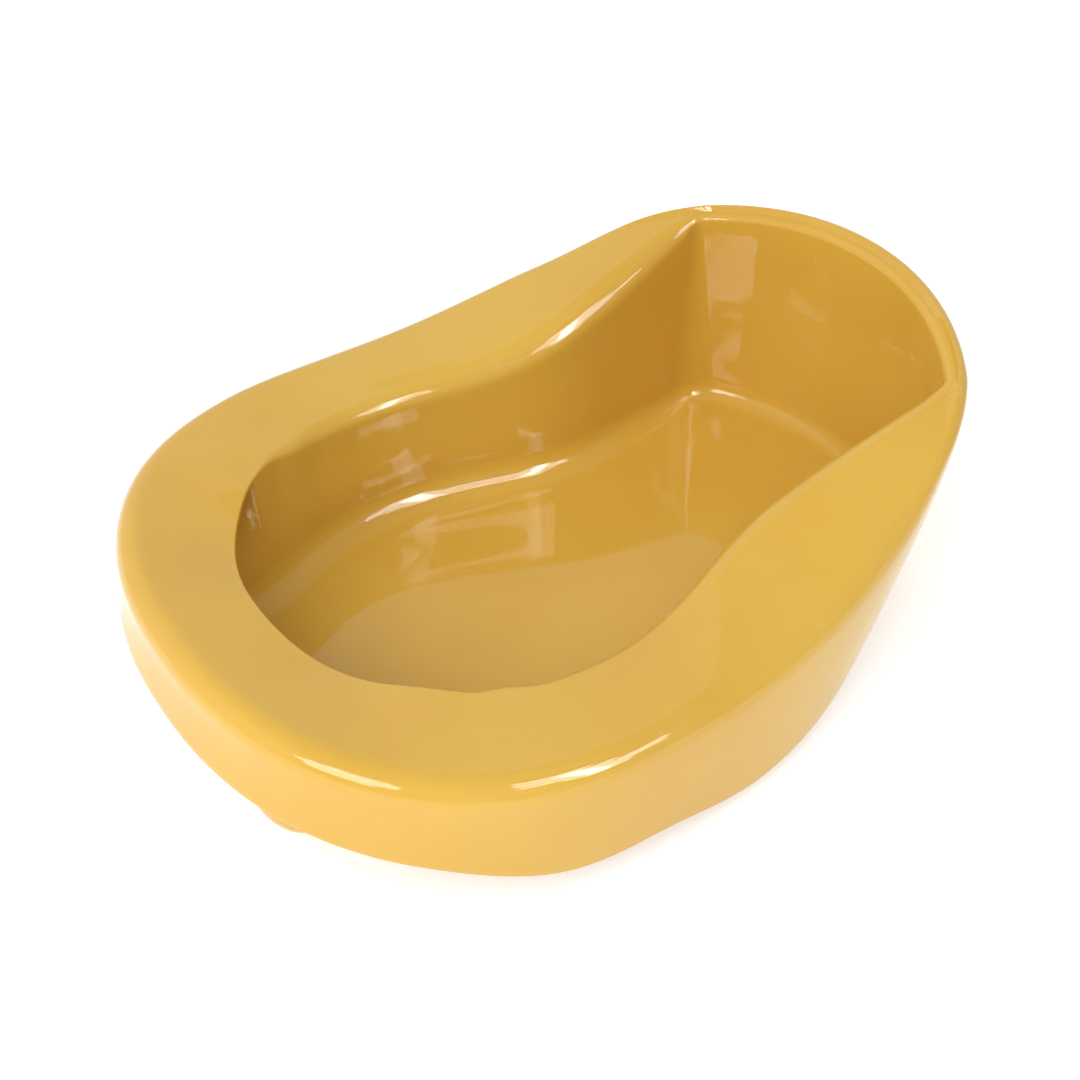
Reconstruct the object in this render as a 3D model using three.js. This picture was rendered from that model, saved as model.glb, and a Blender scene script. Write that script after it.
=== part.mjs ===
// A bedpan: one thin moulded shell, built as its named regions.
// Millimetres. +X towards the tall front, +Y towards the left side, +Z up, z = 0 on the surface it stands on.
import * as THREE from "three";

// ---- Overall shell, measured on the outer shoulder ----
const LENGTH = 362;
const WIDTH = 287;
const WALL = 2.5; // thickness of the shell everywhere
const GAP = 0.3; // parting between neighbouring regions

// ---- Side view: heights of the shell's top at equal steps from rear to front ----
const TOP_HEIGHTS = [78, 68.5, 69, 91.5, 117];
const DECK_DISH = 3; // how far the deck falls from the shoulder to the opening
const RIM_DISH = 0.3; // the same fall across the front rim
const FLANK_FALL = 4.2; // how far the shoulder drops below that top line beside the neck
const FLANK_LIP_RISE = 1.2; // how far the lip stands above it there
const FLANK_BLEND = 62; // length before the front corner over which both die away
const SEAT_EDGE_SAG = 3; // how far the crisp rear edge dips between the centre line and its ends
const LIP_START_RISE = 1.5; // how far the edge stands up where the rolled lip begins
const LIP_START_FROM = 0.7; // share of the crisp edge at which that rise begins

// ---- Side view: heights of the skirt's lower edge at equal steps from rear to front ----
const SKIRT_HEIGHTS = [43, 33.5, 18, 14, 7.5, 15, 39.5, 71, 104];
const SKIRT_FLARE_REAR = 4.4; // the skirt's edge stands out from the shoulder at the rear
const SKIRT_TUCK_SIDE = 10.5; // and is tucked in beside the neck
const SKIRT_TUCK_FRONT = 0.5;

// ---- Outer shoulder, seen from above ----
const WIDEST_FROM_REAR = 131;
const REAR_SQUARENESS = 2.25; // exponent of the superellipse round the seat
const SEAT_SWEEP = 55; // degrees of it that belong to the seat
const TAPER_POWER = 2.5; // how the shoulder draws in from its widest place to the front corners
const FRONT_WIDTH = 196; // across the front corners
const FRONT_BOW = 41.5; // front arc ahead of those corners
const OUTER_CORNER_REACH = 16; // length of each leg of the rounded corner
const SHOULDER_RADIUS = 9.7;

// ---- Opening, seen from above ----
const SEAT_DEPTH = 43; // shoulder to opening, along the centre line at the rear
const SEAT_EDGE_RADIUS = 98; // crisp rear edge of the opening
const SEAT_EDGE_WIDTH = 147; // across the two points where the crisp edge ends
const LIP_STEP = 4; // the rolled lip stands this far inside the seat edge's circle
const LIP_STEP_FROM = 0.15; // shares of the bowl stretch between which it steps in
const LIP_STEP_TO = 0.32;
const LIP_RADIUS = 7.6; // round the bowl
const FLANK_LIP_RADIUS = 12; // beside the neck
const NECK_START_ANGLE = 75; // where the bowl's circle gives way to the neck, degrees from +X
const WAIST_FROM_FRONT = 124;
const WAIST_WIDTH = 141;
const WAIST_EASE = 0.28; // share of the neck's length over which it straightens into the waist
const RIM_WIDTH = 9.4; // front arc of the opening to front arc of the shoulder
const CORNER_RIM_WIDTH = 14.7; // shoulder to opening beside the upright inner corners
const INNER_CORNER_FROM_FRONT = 39;
const INNER_CORNER_REACH = 4; // each leg of the upright corner's rounding at the top
const FOOT_CORNER_REACH = 14; // and at the floor
const LEAST_INNER_BEND = 0.3; // inside radius of the tightest rolls
const RIM_INNER_RADIUS = 4;
const RIM_OUTER_RADIUS = 4.2;
const RIM_FLAT = 1.2; // least flat width between the two rolls
const RIM_BLEND = 14; // length before the corner over which the lip takes the rim's radius
const SHOULDER_BLEND = 60; // and the same for the shoulder

// ---- Basin ----
const WALL_DRAFT = 1.6; // the wall's foot stands inside its top
const FLOOR_FILLET = 14;
const POCKET_FILLET = 12; // under the seat
const FRONT_FILLET = 9;
const POCKET_REACH = 0.6; // share of the seat's depth that the pocket's ceiling runs back
const POCKET_REAR_CLEARANCE = 12.5; // shoulder to the foot of the pocket's rear wall
const POCKET_INSET = 10; // each side of the pocket, inside the end of the seat's crisp edge
const POCKET_CORNER = 24;
const POCKET_REAR_BOW = 2; // how far its rear wall bows back between the corners
const POCKET_SIDE_BOW = 1; // and its side walls bow out
const POCKET_MOUTH_AHEAD = 1.8; // the pocket's mouth, ahead of the ends of the crisp edge

// ---- Facets ----
const SPANS = { seat: 14, bowl: 8, neck: 7, flank: 5, corner: 3, front: 6 };
const ROLL_STEPS = 4;
const FILLET_STEPS = 4;

// ---- Worked-out places ----
const REAR = -LENGTH / 2;
const FRONT = LENGTH / 2;
const WIDEST_X = REAR + WIDEST_FROM_REAR;
const CORNER_X = FRONT - FRONT_BOW;
const WAIST_X = FRONT - WAIST_FROM_FRONT;
const BOWL_X = REAR + SEAT_DEPTH + SEAT_EDGE_RADIUS;
const BOWL_RADIUS = SEAT_EDGE_RADIUS - LIP_STEP;
const SEAT_EDGE_ANGLE = 180 - THREE.MathUtils.radToDeg(Math.asin(SEAT_EDGE_WIDTH / 2 / SEAT_EDGE_RADIUS));
const OPENING_FRONT = FRONT - RIM_WIDTH;
const INNER_CORNER_X = FRONT - INNER_CORNER_FROM_FRONT;
const HALF_COUNT = Object.values(SPANS).reduce((sum, n) => sum + n, 0);
const RING_COUNT = 2 * HALF_COUNT;
const SEAT_END = SPANS.seat;
const TIGHTEST_ROLL = WALL + LEAST_INNER_BEND;
const FLANK_END = SEAT_END + SPANS.bowl + SPANS.neck + SPANS.flank;

// ---- Curves ----

const point = (x, y) => new THREE.Vector2(x, y);

const polar = (x, radius, degrees) => {
  const angle = THREE.MathUtils.degToRad(degrees);
  return point(x + radius * Math.cos(angle), radius * Math.sin(angle));
};

// A curve given by a function of u from 0 to 1.
function curve(pointAt) {
  const made = new THREE.Curve();
  made.getPoint = pointAt;
  return made;
}

// A smooth height along x through knots at equal steps from the rear to the front.
function heightLine(knots) {
  const last = knots.length - 1;
  const knot = (k) => knots[THREE.MathUtils.clamp(k, 0, last)];
  const slope = (k) => (k === 0 || k === last ? 1 : 0.5) * (knot(k + 1) - knot(k - 1));
  return (x) => {
    const along = THREE.MathUtils.clamp(((x - REAR) / LENGTH) * last, 0, last);
    const k = Math.min(Math.floor(along), last - 1);
    const u = along - k;
    const rise = 3 * u * u - 2 * u * u * u;
    const leave = u * (1 - u) * (1 - u);
    const arrive = u * u * (u - 1);
    return knot(k) * (1 - rise) + knot(k + 1) * rise + slope(k) * leave + slope(k + 1) * arrive;
  };
}

const topHeight = heightLine(TOP_HEIGHTS);
const skirtHeight = heightLine(SKIRT_HEIGHTS);

// The circle through (apex, 0) and a corner, as the point at share u of the way from the corner to the apex.
function frontArc(apex, corner, startAngleCut) {
  const bow = apex - corner.x;
  const radius = (bow * bow + corner.y * corner.y) / (2 * bow);
  const fullAngle = Math.asin(corner.y / radius);
  const startAngle = fullAngle - startAngleCut / radius;
  return (u) => {
    const angle = startAngle * (1 - u);
    return point(apex - radius + radius * Math.cos(angle), radius * Math.sin(angle));
  };
}

// Joins stretches into half an outline, from the rear apex round the left side to the front apex.
function halfOutline(stretches) {
  const names = Object.keys(SPANS);
  const points = [stretches[0].getPoint(0)];
  stretches.forEach((stretch, k) => points.push(...stretch.getSpacedPoints(SPANS[names[k]]).slice(1)));
  return points;
}

// A closed outline from its left half, and the outward normal at each of its points.
function ring(half) {
  const right = half.slice(1, -1).reverse().map((p) => point(p.x, -p.y));
  const points = [...half, ...right];
  const normals = points.map((p, i) => {
    const after = points[(i + 1) % points.length];
    const before = points[(i + points.length - 1) % points.length];
    return point(before.y - after.y, after.x - before.x).normalize();
  });
  return { points, normals };
}

// Outer shoulder between its widest place and the front corner.
function taper(x) {
  const share = (x - WIDEST_X) / (CORNER_X - WIDEST_X);
  return point(x, WIDTH / 2 - ((WIDTH - FRONT_WIDTH) / 2) * share ** TAPER_POWER);
}

function shoulderOutline() {
  const halfWidth = WIDTH / 2;
  const power = 2 / REAR_SQUARENESS;
  const round = (degrees) => {
    const angle = THREE.MathUtils.degToRad(degrees);
    const x = WIDEST_X - WIDEST_FROM_REAR * Math.cos(angle) ** power;
    return point(x, halfWidth * Math.sin(angle) ** power);
  };
  const corner = point(CORNER_X, FRONT_WIDTH / 2);
  const flankEnd = CORNER_X - OUTER_CORNER_REACH;
  const arc = frontArc(FRONT, corner, OUTER_CORNER_REACH);
  return ring(
    halfOutline([
      curve((u) => round(SEAT_SWEEP * u)),
      curve((u) => round(SEAT_SWEEP + (90 - SEAT_SWEEP) * u)),
      curve((u) => taper(WIDEST_X + (WAIST_X - WIDEST_X) * u)),
      curve((u) => taper(WAIST_X + (flankEnd - WAIST_X) * u)),
      new THREE.QuadraticBezierCurve(taper(flankEnd), corner, arc(0)),
      curve(arc),
    ]),
  );
}

// The opening's inner line, moved in by an inset, with its front corners rounded off by a reach.
function openingHalf(inset, cornerReach) {
  const lipRadius = (u) => {
    const share = THREE.MathUtils.smoothstep(u, LIP_STEP_FROM, LIP_STEP_TO);
    return SEAT_EDGE_RADIUS - LIP_STEP * share - inset;
  };
  const bowlRadius = BOWL_RADIUS - inset;
  const neckStart = polar(BOWL_X, bowlRadius, NECK_START_ANGLE);
  const heading = polar(0, 1, NECK_START_ANGLE - 90);
  const waist = point(WAIST_X, WAIST_WIDTH / 2 - inset);
  const corner = point(INNER_CORNER_X, taper(INNER_CORNER_X).y - CORNER_RIM_WIDTH - inset);
  const reach = waist.x - neckStart.x;
  const flank = new THREE.CubicBezierCurve(
    waist,
    waist.clone().add(point((corner.x - waist.x) / 4, 0)),
    corner.clone().add(point((waist.x - corner.x) / 3, (waist.y - corner.y) / 3)),
    corner,
  );
  const flankShare = 1 - cornerReach / (corner.x - waist.x);
  const arc = frontArc(OPENING_FRONT - inset, corner, cornerReach);
  return halfOutline([
    curve((u) => polar(BOWL_X, lipRadius(0), 180 + (SEAT_EDGE_ANGLE - 180) * u)),
    curve((u) => polar(BOWL_X, lipRadius(u), SEAT_EDGE_ANGLE + (NECK_START_ANGLE - SEAT_EDGE_ANGLE) * u)),
    new THREE.CubicBezierCurve(
      neckStart,
      neckStart.clone().addScaledVector(heading, reach / 2),
      waist.clone().sub(point(reach * WAIST_EASE, 0)),
      waist,
    ),
    curve((u) => flank.getPoint(u * flankShare)),
    new THREE.QuadraticBezierCurve(flank.getPoint(flankShare), corner, arc(0)),
    curve(arc),
  ]);
}

// The foot of the basin wall: the opening's line drawn in, with the pocket under the seat behind it.
function footOutline() {
  const half = openingHalf(WALL_DRAFT, FOOT_CORNER_REACH);
  const rear = REAR + POCKET_REAR_CLEARANCE;
  const mouth = polar(BOWL_X, SEAT_EDGE_RADIUS, SEAT_EDGE_ANGLE).add(point(POCKET_MOUTH_AHEAD, 0));
  const side = mouth.y - POCKET_INSET;
  const path = new THREE.CurvePath();
  const cornerStart = point(rear + POCKET_REAR_BOW, side - POCKET_CORNER);
  const cornerEnd = point(rear + POCKET_CORNER, side);
  path.add(new THREE.QuadraticBezierCurve(point(rear, 0), point(rear, cornerStart.y / 2), cornerStart));
  path.add(new THREE.QuadraticBezierCurve(cornerStart, point(rear + POCKET_REAR_BOW, side), cornerEnd));
  const sideMiddle = point((cornerEnd.x + mouth.x) / 2, side + POCKET_SIDE_BOW);
  path.add(new THREE.QuadraticBezierCurve(cornerEnd, sideMiddle, mouth));
  const pocket = path.getSpacedPoints(SPANS.seat);
  const bowlEnd = half[SEAT_END + SPANS.bowl];
  const straightOn = mouth.clone().lerp(half[SEAT_END + 2], 0.5);
  const knots = [mouth, straightOn, half[SEAT_END + 3], half[SEAT_END + 4], bowlEnd];
  const join = new THREE.CatmullRomCurve3(
    knots.map((p) => new THREE.Vector3(p.x, p.y, 0)),
    false,
    "centripetal",
  );
  const blend = join.getSpacedPoints(SPANS.bowl).map((p) => point(p.x, p.y));
  return ring([...pocket, ...blend.slice(1), ...half.slice(SEAT_END + SPANS.bowl + 1)]);
}

const shoulder = shoulderOutline();
const opening = ring(openingHalf(0, INNER_CORNER_REACH));
const foot = footOutline();

// ---- Sizes that vary round the ring ----

const halfIndex = (i) => Math.min(i, RING_COUNT - i);
const isSeat = (i) => halfIndex(i) < SEAT_END;
const frontShare = (x) => THREE.MathUtils.smoothstep(x, WAIST_X, INNER_CORNER_X);

// 1 beside the neck, falling away to 0 at the widest place and at the front corner.
function flankShare(x) {
  const grows = THREE.MathUtils.smoothstep(x, WIDEST_X, WAIST_X);
  const ends = THREE.MathUtils.smoothstep(x, CORNER_X - FLANK_BLEND, CORNER_X);
  return grows * (1 - ends);
}

// Both rolls shrink together where the deck is too narrow for them.
function rolls(i) {
  const width = shoulder.points[i].distanceTo(opening.points[i]);
  const x = opening.points[i].x;
  const rimShare = THREE.MathUtils.smoothstep(x, INNER_CORNER_X - RIM_BLEND, INNER_CORNER_X);
  const behindRim = THREE.MathUtils.lerp(LIP_RADIUS, FLANK_LIP_RADIUS, flankShare(x));
  const inner = THREE.MathUtils.lerp(behindRim, RIM_INNER_RADIUS, rimShare);
  const outerShare = THREE.MathUtils.smoothstep(x, INNER_CORNER_X - SHOULDER_BLEND, INNER_CORNER_X);
  const outer = THREE.MathUtils.lerp(SHOULDER_RADIUS, RIM_OUTER_RADIUS, outerShare);
  const fit = Math.min(1, (width - RIM_FLAT) / (inner + outer));
  const grown = THREE.MathUtils.smoothstep(halfIndex(i), SEAT_END, SEAT_END + 4);
  const lip = THREE.MathUtils.lerp(TIGHTEST_ROLL, inner * fit, grown);
  return { lip: isSeat(i) ? 0 : lip, shoulder: outer * fit };
}

function filletRadius(i) {
  const share = frontShare(foot.points[i].x);
  const rearward = THREE.MathUtils.smoothstep(SEAT_END - halfIndex(i), 0, 4);
  const behind = FLOOR_FILLET + (POCKET_FILLET - FLOOR_FILLET) * rearward;
  return behind + (FRONT_FILLET - behind) * share;
}

function skirtOffset(x) {
  if (x < WIDEST_X) return SKIRT_FLARE_REAR * THREE.MathUtils.smoothstep(-x, -WIDEST_X, -REAR);
  const tuck = THREE.MathUtils.smoothstep(x, WIDEST_X, CORNER_X) ** 2;
  const ease = THREE.MathUtils.smoothstep(x, WAIST_X, FRONT);
  return -SKIRT_TUCK_SIDE * tuck + (SKIRT_TUCK_SIDE - SKIRT_TUCK_FRONT) * ease;
}

function shoulderTop(i) {
  const x = shoulder.points[i].x;
  return topHeight(x) - FLANK_FALL * flankShare(x);
}

// The gentle dips and rises of the opening's edge, to either side of where the rolled lip begins.
function edgeRelief(i) {
  const k = halfIndex(i);
  const sag = isSeat(i) ? Math.sin((Math.PI * k) / SEAT_END) ** 2 : 0;
  const starts = THREE.MathUtils.smoothstep(k, SEAT_END * LIP_START_FROM, SEAT_END);
  const fades = THREE.MathUtils.smoothstep(k, SEAT_END, SEAT_END + SPANS.bowl);
  return LIP_START_RISE * starts * (1 - fades) - SEAT_EDGE_SAG * sag;
}

function openingTop(i) {
  const x = opening.points[i].x;
  const dish = THREE.MathUtils.lerp(DECK_DISH, RIM_DISH, frontShare(x));
  return topHeight(x) - dish + FLANK_LIP_RISE * flankShare(x) + edgeRelief(i);
}

// ---- Rows: one closed line of points each, with the direction that the visible face looks in ----

// A row from a horizontal outline: move is along its outward normal, tilt is the face's angle above
// the horizontal, and side is +1 for a face that looks outward or -1 for one that looks in.
function row({ points, normals }, move, height, side, tilt) {
  return points.map((p, i) => {
    const n = normals[i];
    const position = new THREE.Vector3(p.x + n.x * move(i), p.y + n.y * move(i), height(i));
    const flat = side * Math.cos(tilt);
    return { position, facing: new THREE.Vector3(n.x * flat, n.y * flat, Math.sin(tilt)) };
  });
}

const quarterTurns = (steps) => Array.from({ length: steps + 1 }, (_, k) => (k / steps) * (Math.PI / 2));

// Floor fillet, from the wall's foot down to the floor.
function filletRows() {
  return quarterTurns(FILLET_STEPS).map((tilt) => {
    const move = (i) => -filletRadius(i) * (1 - Math.cos(tilt));
    const height = (i) => WALL + filletRadius(i) * (1 - Math.sin(tilt));
    return row(foot, move, height, -1, tilt);
  });
}

// Rolled lip, from the top of the wall out to the deck.
function lipRows() {
  return quarterTurns(ROLL_STEPS).map((tilt) => {
    const move = (i) => rolls(i).lip * (1 - Math.cos(tilt));
    const height = (i) => openingTop(i) - rolls(i).lip * (1 - Math.sin(tilt));
    return row(opening, move, height, -1, tilt);
  });
}

// Outer shoulder, from the deck down to the skirt.
function shoulderRows() {
  return quarterTurns(ROLL_STEPS)
    .reverse()
    .map((tilt) => {
      const move = (i) => -rolls(i).shoulder * (1 - Math.cos(tilt));
      const height = (i) => shoulderTop(i) - rolls(i).shoulder * (1 - Math.sin(tilt));
      return row(shoulder, move, height, 1, tilt);
    });
}

function skirtEdgeRow() {
  const move = (i) => skirtOffset(shoulder.points[i].x);
  const height = (i) => skirtHeight(shoulder.points[i].x);
  return row(shoulder, move, height, 1, 0);
}

// Rows between two others, at equal steps, without the two ends.
function between(from, to, steps) {
  const rows = [];
  for (let k = 1; k < steps; k += 1) {
    rows.push(
      from.map((start, i) => ({
        position: start.position.clone().lerp(to[i].position, k / steps),
        facing: start.facing.clone().lerp(to[i].facing, k / steps).normalize(),
      })),
    );
  }
  return rows;
}

// The top of the basin wall: the lip's first row, or the pocket's ceiling line under the seat.
function wallTopRow(lipStart) {
  return lipStart.map((start, i) => {
    if (!isSeat(i)) return start;
    const across = Math.abs(opening.points[i].y) / (SEAT_EDGE_WIDTH / 2);
    const share = POCKET_REACH * (1 - across ** 4);
    const p = opening.points[i].clone().lerp(shoulder.points[i], share);
    const deck = openingTop(i) + (shoulderTop(i) - openingTop(i)) * share;
    return { position: new THREE.Vector3(p.x, p.y, deck - WALL - 2 * GAP), facing: start.facing };
  });
}

const fillet = filletRows();
const lip = lipRows();
const rolled = shoulderRows();
const wallTop = wallTopRow(lip[0]);
const deckInner = lip[ROLL_STEPS];
const deckOuter = rolled[0];
const basinWall = [fillet[0], ...between(fillet[0], wallTop, 3), wallTop];
const deck = [deckInner, ...between(deckInner, deckOuter, 3), deckOuter];
const skirt = [...rolled, ...between(rolled[ROLL_STEPS], skirtEdgeRow(), 2), skirtEdgeRow()];
const rim = [...lip, ...skirt];

// ---- Solids ----

const closer = (p, towards, distance) => p.clone().addScaledVector(towards.clone().sub(p).normalize(), distance);

// Draws the first and last lines of a sheet in by half the parting.
function partLines(lines) {
  const last = lines.length - 1;
  return lines.map((line, k) => {
    if (k !== 0 && k !== last) return line;
    const inner = lines[k === 0 ? 1 : last - 1];
    return line.map((p, i) => closer(p, inner[i], GAP / 2));
  });
}

const transposed = (lines) => lines[0].map((_, i) => lines.map((line) => line[i]));

// The two faces of a sheet as lines of points: the visible one, and the one a wall's thickness behind it.
function faces(rows, stations) {
  const pick = (r, depth) =>
    stations.map((i) => r[i % RING_COUNT].position.clone().addScaledVector(r[i % RING_COUNT].facing, -depth));
  return [rows.map((r) => pick(r, 0)), rows.map((r) => pick(r, WALL))];
}

// A mesh with its faces pointing out, whichever way its triangles were wound.
function solid(name, positions, triangles) {
  const [a, b, c] = [new THREE.Vector3(), new THREE.Vector3(), new THREE.Vector3()];
  let volume = 0;
  triangles.forEach((t) => {
    [a, b, c].forEach((v, k) => v.copy(positions[t[k]]));
    volume += a.dot(b.cross(c));
  });
  const wound = volume < 0 ? triangles.map(([p, q, r]) => [p, r, q]) : triangles;
  const geometry = new THREE.BufferGeometry().setFromPoints(positions).setIndex(wound.flat());
  geometry.computeVertexNormals();
  const mesh = new THREE.Mesh(geometry, goldPlastic());
  mesh.name = name;
  return mesh;
}

// Two triangles for each cell between neighbouring lines; closed joins the last column to the first.
function gridTriangles(lineCount, columnCount, closed, index) {
  const triangles = [];
  const columns = closed ? columnCount : columnCount - 1;
  for (let k = 0; k + 1 < lineCount; k += 1) {
    for (let i = 0; i < columns; i += 1) {
      const j = (i + 1) % columnCount;
      triangles.push([index(k, i), index(k, j), index(k + 1, j)]);
      triangles.push([index(k, i), index(k + 1, j), index(k + 1, i)]);
    }
  }
  return triangles;
}

// A sheet that runs over some of the ring's stations, as a closed solid.
function strip(name, rows, firstStation, lastStation) {
  const stations = Array.from({ length: lastStation - firstStation + 1 }, (_, k) => firstStation + k);
  const parted = faces(rows, stations).map((lines) => transposed(partLines(transposed(partLines(lines)))));
  const [front, back] = parted;
  const loop = [...front, ...back.reverse()];
  const count = stations.length;
  const lines = loop.length;
  const index = (k, i) => (k % lines) * count + i;
  const triangles = gridTriangles(lines + 1, count, false, index);
  for (let k = 0; k < rows.length - 1; k += 1) {
    const [near, next] = [k, k + 1];
    const [far, farNext] = [lines - 1 - k, lines - 2 - k];
    triangles.push([index(near, 0), index(next, 0), index(farNext, 0)]);
    triangles.push([index(near, 0), index(farNext, 0), index(far, 0)]);
    const end = count - 1;
    triangles.push([index(near, end), index(farNext, end), index(next, end)]);
    triangles.push([index(near, end), index(far, end), index(farNext, end)]);
  }
  return solid(name, loop.flat(), triangles);
}

// The floor: the fillet all round, closed by the flat floor above and by the face it stands on below.
function basinFloor(name) {
  const stations = Array.from({ length: RING_COUNT }, (_, i) => i);
  const [above, below] = faces(fillet, stations).map((lines) => {
    const top = lines[0].map((p, i) => closer(p, lines[1][i], GAP / 2));
    return [top, ...lines.slice(1)];
  });
  const lines = [...above.reverse(), ...below];
  const index = (k, i) => k * RING_COUNT + i;
  const triangles = gridTriangles(lines.length, RING_COUNT, true, index);
  const flat = THREE.ShapeUtils.triangulateShape(lines[0].map((p) => point(p.x, p.y)), []);
  const bottom = lines.length - 1;
  flat.forEach(([a, b, c]) => {
    triangles.push([index(0, a), index(0, b), index(0, c)]);
    triangles.push([index(bottom, a), index(bottom, c), index(bottom, b)]);
  });
  return solid(name, lines.flat(), triangles);
}

function goldPlastic() {
  return new THREE.MeshStandardMaterial({ color: 0xd8aa50, roughness: 0.2, metalness: 0 });
}

const mirrored = (i) => RING_COUNT - i;

// The group is shifted so that the origin is below the middle of the overall length.
const bedpan = new THREE.Group();
bedpan.position.x = SKIRT_FLARE_REAR / 2;
bedpan.add(
  basinFloor("basin_floor"),
  strip("rear_pocket_wall", basinWall, mirrored(SEAT_END), RING_COUNT + SEAT_END),
  strip("side_wall_left", basinWall, SEAT_END, FLANK_END),
  strip("side_wall_right", basinWall, mirrored(FLANK_END), mirrored(SEAT_END)),
  strip("front_wall", basinWall, FLANK_END, mirrored(FLANK_END)),
  strip("lip_left", lip, SEAT_END, FLANK_END),
  strip("lip_right", lip, mirrored(FLANK_END), mirrored(SEAT_END)),
  strip("front_rim", rim, FLANK_END, mirrored(FLANK_END)),
  strip("seat_deck", deck, mirrored(FLANK_END), RING_COUNT + FLANK_END),
  strip("outer_skirt", skirt, mirrored(FLANK_END), RING_COUNT + FLANK_END),
);

export default bedpan;
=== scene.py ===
"""A bedpan of gloss gold plastic: one thin moulded shell, shown as its ten named regions."""
import math

import bpy
import numpy as np
from mathutils import Matrix, Vector


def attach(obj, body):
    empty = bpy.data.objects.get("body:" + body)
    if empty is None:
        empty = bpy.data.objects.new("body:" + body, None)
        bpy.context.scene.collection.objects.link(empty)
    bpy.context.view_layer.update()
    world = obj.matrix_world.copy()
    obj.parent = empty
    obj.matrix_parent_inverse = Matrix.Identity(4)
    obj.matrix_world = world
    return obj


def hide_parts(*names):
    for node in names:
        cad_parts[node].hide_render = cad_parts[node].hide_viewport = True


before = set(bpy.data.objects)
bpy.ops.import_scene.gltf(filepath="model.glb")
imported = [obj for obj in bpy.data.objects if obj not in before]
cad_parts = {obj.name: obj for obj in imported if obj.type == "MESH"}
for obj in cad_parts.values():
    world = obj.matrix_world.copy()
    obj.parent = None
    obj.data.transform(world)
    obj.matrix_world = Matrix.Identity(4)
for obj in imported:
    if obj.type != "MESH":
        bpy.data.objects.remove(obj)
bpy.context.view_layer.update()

# ---- Overall shell, in millimetres, measured on the outer shoulder; the same values as the CAD ----
LENGTH = 362
WIDTH = 287
WALL = 2.5
TOP_HEIGHTS = [78, 68.5, 69, 91.5, 117]
DECK_DISH = 3
RIM_DISH = 0.3
FLANK_FALL = 4.2
FLANK_LIP_RISE = 1.2
FLANK_BLEND = 62
SEAT_EDGE_SAG = 3
LIP_START_RISE = 1.5
LIP_START_FROM = 0.7
SKIRT_HEIGHTS = [43, 33.5, 18, 14, 7.5, 15, 39.5, 71, 104]
SKIRT_FLARE_REAR = 4.4
SKIRT_TUCK_SIDE = 10.5
SKIRT_TUCK_FRONT = 0.5
SKIRT_EASE = 1.5  # above 1, the skirt starts straight down and moves across late

# ---- Outer shoulder, seen from above ----
WIDEST_FROM_REAR = 131
REAR_SQUARENESS = 2.25
SEAT_SWEEP = 55
TAPER_POWER = 2.5
FRONT_WIDTH = 196
FRONT_BOW = 41.5
OUTER_CORNER_REACH = 16
SHOULDER_RADIUS = 9.7

# ---- Opening, seen from above ----
SEAT_DEPTH = 43
SEAT_EDGE_RADIUS = 98
SEAT_EDGE_WIDTH = 147
LIP_STEP = 4
LIP_STEP_SHARES = (0.15, 0.32)
LIP_RADIUS = 7.6
FLANK_LIP_RADIUS = 12
NECK_START_ANGLE = 75
WAIST_FROM_FRONT = 124
WAIST_WIDTH = 141
WAIST_EASE = 0.28
CORNER_RIM_WIDTH = 14.7
RIM_WIDTH = 9.4
INNER_CORNER_FROM_FRONT = 39
INNER_CORNER_REACH = 4
FOOT_CORNER_REACH = 14
RIM_INNER_RADIUS = 4
RIM_OUTER_RADIUS = 4.2
RIM_FLAT = 1.2
RIM_BLEND = 14
SHOULDER_BLEND = 60

# ---- Basin ----
WALL_DRAFT = 1.6
FLOOR_FILLET = 14
POCKET_FILLET = 12
FRONT_FILLET = 9
POCKET_REACH = 0.6
POCKET_SQUARENESS = 4
POCKET_REAR_CLEARANCE = 12.5
POCKET_INSET = 10
POCKET_CORNER = 24
POCKET_REAR_BOW = 2
POCKET_SIDE_BOW = 1
POCKET_MOUTH_AHEAD = 1.8
POCKET_WALL_INSET = 0.2  # how far the pocket's wall runs up into the seat's underside

# ---- Rounded free edges ----
EDGE_DEPTH = 0.9  # how deep the rounding of a free edge is
EDGE_SQUARENESS = 3
EDGE_STEPS = 8

# ---- Marks of the mould, in metres ----
CORE_FRONT_X = -0.0448  # front of the core's outline on the centre line
CORE_BOW = 2.8  # how fast that front falls back from it, per metre
CORE_HALF_WIDTH = 0.062
CORE_CORNER = 0.011
CORE_LINE = 0.00025
CORE_TOP = (0.0035, 0.0045)  # heights between which the line fades out
EJECTOR_PLACE = (0.141, 0.0885, 0.1065)
EJECTOR_RADIUS = 0.0034
EJECTOR_LINE = 0.0003

# ---- Colours, linear ----
GOLD_LIGHT = (0.65, 0.395, 0.058, 1)
GOLD_DEEP = (0.62, 0.362, 0.049, 1)
GOLD_DARK = (0.4, 0.22, 0.03, 1)
# Pale gold: real wear on the hairlines, and a painted highlight on the mould marks
GOLD_WEAR_AND_HIGHLIGHT = (0.85, 0.65, 0.3, 1)
WHITE = (1, 1, 1, 1)

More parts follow.
